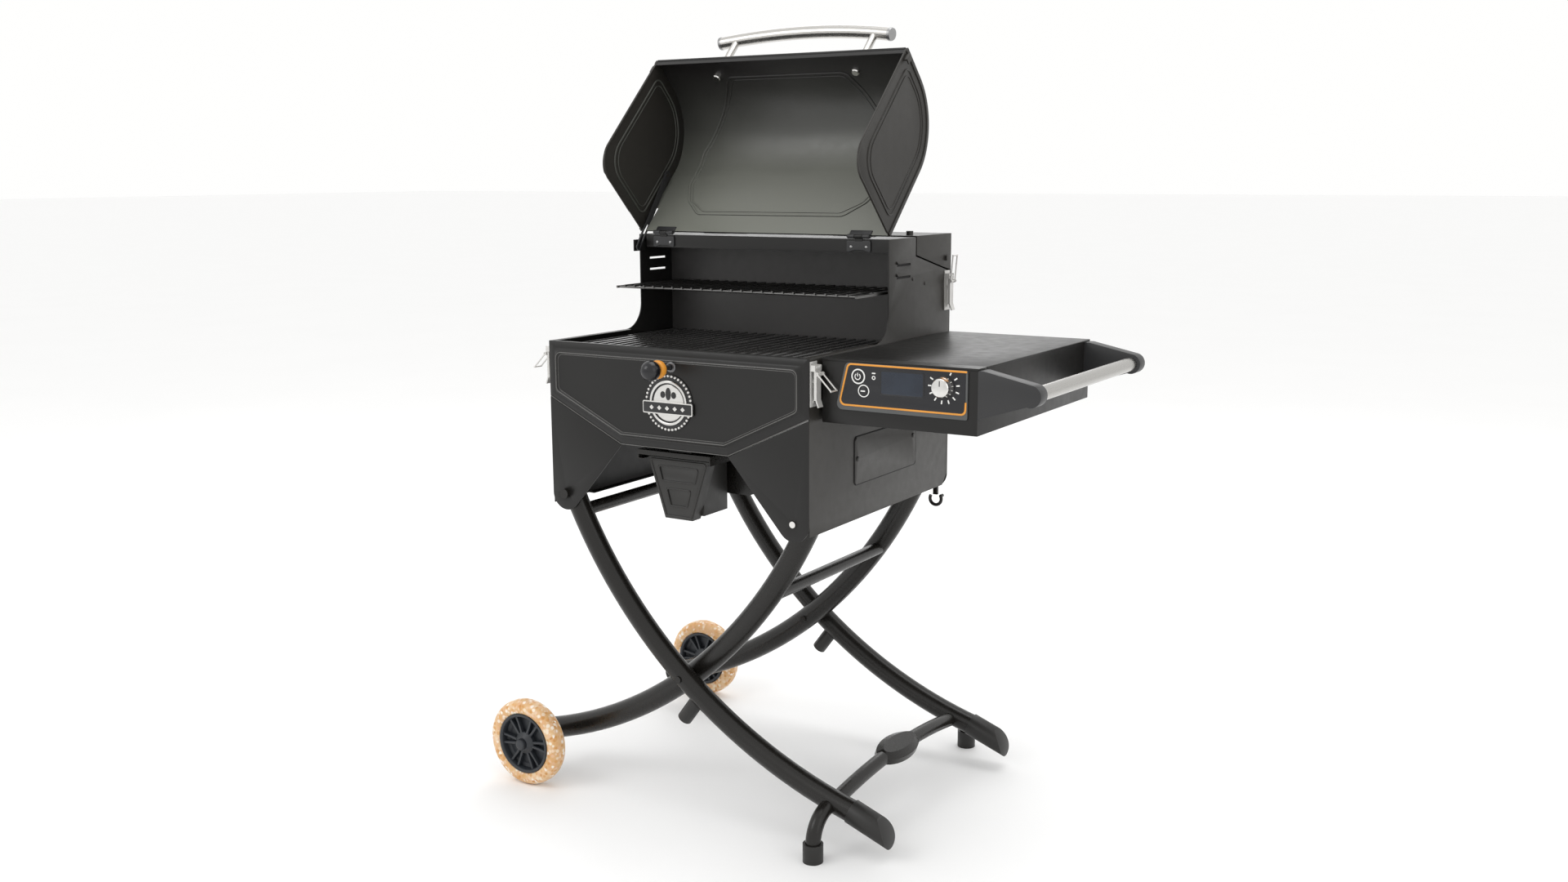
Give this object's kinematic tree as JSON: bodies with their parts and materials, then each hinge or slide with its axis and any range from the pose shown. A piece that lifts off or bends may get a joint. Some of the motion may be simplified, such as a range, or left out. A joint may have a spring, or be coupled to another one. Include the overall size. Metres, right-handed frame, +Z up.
{
  "type": "pellet smoker grill",
  "caption": "Portable wood pellet smoker grill with a hinged lid, rear pellet hopper, side shelf with controls and a folding curved-leg stand on wheels.",
  "frame": {"origin": "centre of the bounding box on the ground plane", "axes": "+X from the wheels towards the side shelf, +Y from the front panel towards the hopper at the back, +Z up"},
  "size_m": [0.98, 0.604, 1.2928],
  "materials": {
    "body_black": "textured powder coat",
    "side_black": "satin powder coat",
    "inner_black": "heat-proof matt paint",
    "steel": "satin",
    "chrome": "bright",
    "iron": "matt enamel",
    "black_plastic": "moulded",
    "gloss_plastic": "panel face",
    "hub_plastic": "moulded",
    "orange_tyre": "translucent orange with flecks",
    "black_rubber": "matt"
  },
  "bodies": {
    "grill": {"side_panel_left": "body_black", "side_panel_right": "side_black", "front_panel": "body_black", "rear_panel": "body_black", "firebox_floor": "inner_black", "chamber_wall": "inner_black", "tower_deck": "body_black", "leg_brackets": "body_black", "burn_pot": "steel", "burner_box": "body_black", "auger_tube": "steel", "heat_baffle": "inner_black", "latch_bases": "chrome", "shelf_box": "body_black", "shelf_top": "body_black", "control_panel": "gloss_plastic", "shelf_handle": "steel", "handle_brackets": "black_plastic", "access_cover": "side_black", "power_inlet": "black_plastic", "bucket_holder": "body_black"},
    "lid": {"lid_shell": "body_black", "lid_ends": "side_black", "lid_handle": "steel", "lid_hinges": "black_plastic"},
    "lid_stay": {"lid_stay": "black_plastic"},
    "hopper_lid": {"hopper_lid": "side_black"},
    "lever_right": {"latch_lever_right": "chrome"},
    "bail_right": {"latch_bail_right": "chrome"},
    "lever_left": {"latch_lever_left": "chrome"},
    "bail_left": {"latch_bail_left": "chrome"},
    "lever_rear": {"latch_lever_rear": "chrome"},
    "bail_rear": {"latch_bail_rear": "chrome"},
    "broiler": {"broiler_rod": "steel", "ball_knob": "black_plastic"},
    "bucket": {"grease_bucket": "side_black"},
    "dial": {"dial_knob": "chrome"},
    "power_button": {"power_button": "gloss_plastic"},
    "prime_button": {"prime_button": "gloss_plastic"},
    "rack": {"warming_rack": "steel"},
    "grate_left": {"grate_left": "iron"},
    "grate_right": {"grate_right": "iron"},
    "auger": {"auger": "steel"},
    "fan": {"fan_impeller": "black_plastic"},
    "foot_frame": {"foot_leg_front": "body_black", "foot_leg_rear": "body_black", "foot_leg_tie": "body_black", "foot_bar": "body_black", "foot_pad": "body_black", "leg_end_caps": "black_rubber"},
    "wheel_frame": {"wheel_leg_front": "body_black", "wheel_leg_rear": "body_black", "wheel_leg_bar": "body_black", "axles": "steel"},
    "wheel_front": {"hub_front": "hub_plastic", "tyre_front": "orange_tyre"},
    "wheel_rear": {"hub_rear": "hub_plastic", "tyre_rear": "orange_tyre"},
    "snap_front": {"snap_button_front": "chrome"},
    "snap_rear": {"snap_button_rear": "chrome"}
  },
  "joints": [
    {"name": "lid_hinge", "type": "hinge", "parent": "grill", "child": "lid", "pos_m": [-0.116, 0.02, 0.941], "axis": [1, 0, 0], "range_deg": [0, 134.5]},
    {"name": "stay_pivot", "type": "hinge", "parent": "lid", "child": "lid_stay", "pos_m": [-0.357, 0.09495, 1.03858], "axis": [1, 0, 0], "range_deg": [-13.2, 0]},
    {"name": "hopper_hinge", "type": "hinge", "parent": "grill", "child": "hopper_lid", "pos_m": [-0.116, 0.115, 0.9402], "axis": [1, 0, 0], "range_deg": [0, 60]},
    {"name": "lever_right_pivot", "type": "hinge", "parent": "grill", "child": "lever_right", "pos_m": [0.141, -0.218, 0.757], "axis": [0, -1, 0], "range_deg": [0, 100]},
    {"name": "bail_right_pivot", "type": "hinge", "parent": "lever_right", "child": "bail_right", "pos_m": [0.146, -0.218, 0.749], "axis": [0, 1, 0], "range_deg": [-140, 40]},
    {"name": "lever_left_pivot", "type": "hinge", "parent": "grill", "child": "lever_left", "pos_m": [-0.373, -0.218, 0.757], "axis": [0, 1, 0], "range_deg": [0, 100]},
    {"name": "bail_left_pivot", "type": "hinge", "parent": "lever_left", "child": "bail_left", "pos_m": [-0.378, -0.218, 0.749], "axis": [0, -1, 0], "range_deg": [-140, 40]},
    {"name": "lever_rear_pivot", "type": "hinge", "parent": "grill", "child": "lever_rear", "pos_m": [0.141, 0.234, 0.866], "axis": [0, -1, 0], "range_deg": [0, 100]},
    {"name": "bail_rear_pivot", "type": "hinge", "parent": "lever_rear", "child": "bail_rear", "pos_m": [0.146, 0.234, 0.858], "axis": [0, -1, 0], "range_deg": [-100, 0]},
    {"name": "broiler_slide", "type": "slide", "parent": "grill", "child": "broiler", "axis": [0, -1, 0], "range_m": [0, 0.06]},
    {"name": "bucket_slide", "type": "slide", "parent": "grill", "child": "bucket", "axis": [0, -1, 0], "range_m": [0, 0.08]},
    {"name": "dial_turn", "type": "hinge", "parent": "grill", "child": "dial", "pos_m": [0.344, -0.212, 0.742], "axis": [0, -1, 0], "range_deg": [0, 285]},
    {"name": "power_press", "type": "slide", "parent": "grill", "child": "power_button", "axis": [0, 1, 0], "range_m": [0, 0.0015], "stiffness_N_per_m": 600},
    {"name": "prime_press", "type": "slide", "parent": "grill", "child": "prime_button", "axis": [0, 1, 0], "range_m": [0, 0.0015], "stiffness_N_per_m": 600},
    {"name": "rack_slide", "type": "slide", "parent": "grill", "child": "rack", "axis": [0, -1, 0], "range_m": [0, 0.13]},
    {"name": "grate_left_lift", "type": "slide", "parent": "grill", "child": "grate_left", "axis": [0, 0, 1], "range_m": [0, 0.06]},
    {"name": "grate_right_lift", "type": "slide", "parent": "grill", "child": "grate_right", "axis": [0, 0, 1], "range_m": [0, 0.06]},
    {"name": "auger_turn", "type": "hinge", "parent": "grill", "child": "auger", "pos_m": [-0.116, 0.07, 0.656], "axis": [0, 1, 0], "continuous": true},
    {"name": "fan_turn", "type": "hinge", "parent": "grill", "child": "fan", "pos_m": [-0.116, -0.03, 0.54], "axis": [0, 0, 1], "continuous": true},
    {"name": "foot_legs_fold", "type": "hinge", "parent": "grill", "child": "foot_frame", "pos_m": [-0.338, -0.2095, 0.517], "axis": [0, -1, 0], "range_deg": [0, 38]},
    {"name": "wheel_legs_fold", "type": "hinge", "parent": "grill", "child": "wheel_frame", "pos_m": [0.106, -0.169, 0.517], "axis": [0, 1, 0], "range_deg": [0, 38]},
    {"name": "front_wheel_turn", "type": "hinge", "parent": "wheel_frame", "child": "wheel_front", "pos_m": [-0.415, -0.26, 0.075], "axis": [0, 1, 0], "continuous": true},
    {"name": "rear_wheel_turn", "type": "hinge", "parent": "wheel_frame", "child": "wheel_rear", "pos_m": [-0.415, 0.278, 0.075], "axis": [0, 1, 0], "continuous": true},
    {"name": "snap_front_press", "type": "slide", "parent": "grill", "child": "snap_front", "axis": [0, 1, 0], "range_m": [0, 0.003], "stiffness_N_per_m": 900},
    {"name": "snap_rear_press", "type": "slide", "parent": "grill", "child": "snap_rear", "axis": [0, -1, 0], "range_m": [0, 0.003], "stiffness_N_per_m": 900}
  ],
  "couplings": [
    {"joint": "stay_pivot", "follows": "lid_hinge", "ratio": -0.0955},
    {"joint": "bail_rear_pivot", "follows": "lever_rear_pivot", "ratio": -1},
    {"joint": "wheel_legs_fold", "follows": "foot_legs_fold", "ratio": 1}
  ]
}
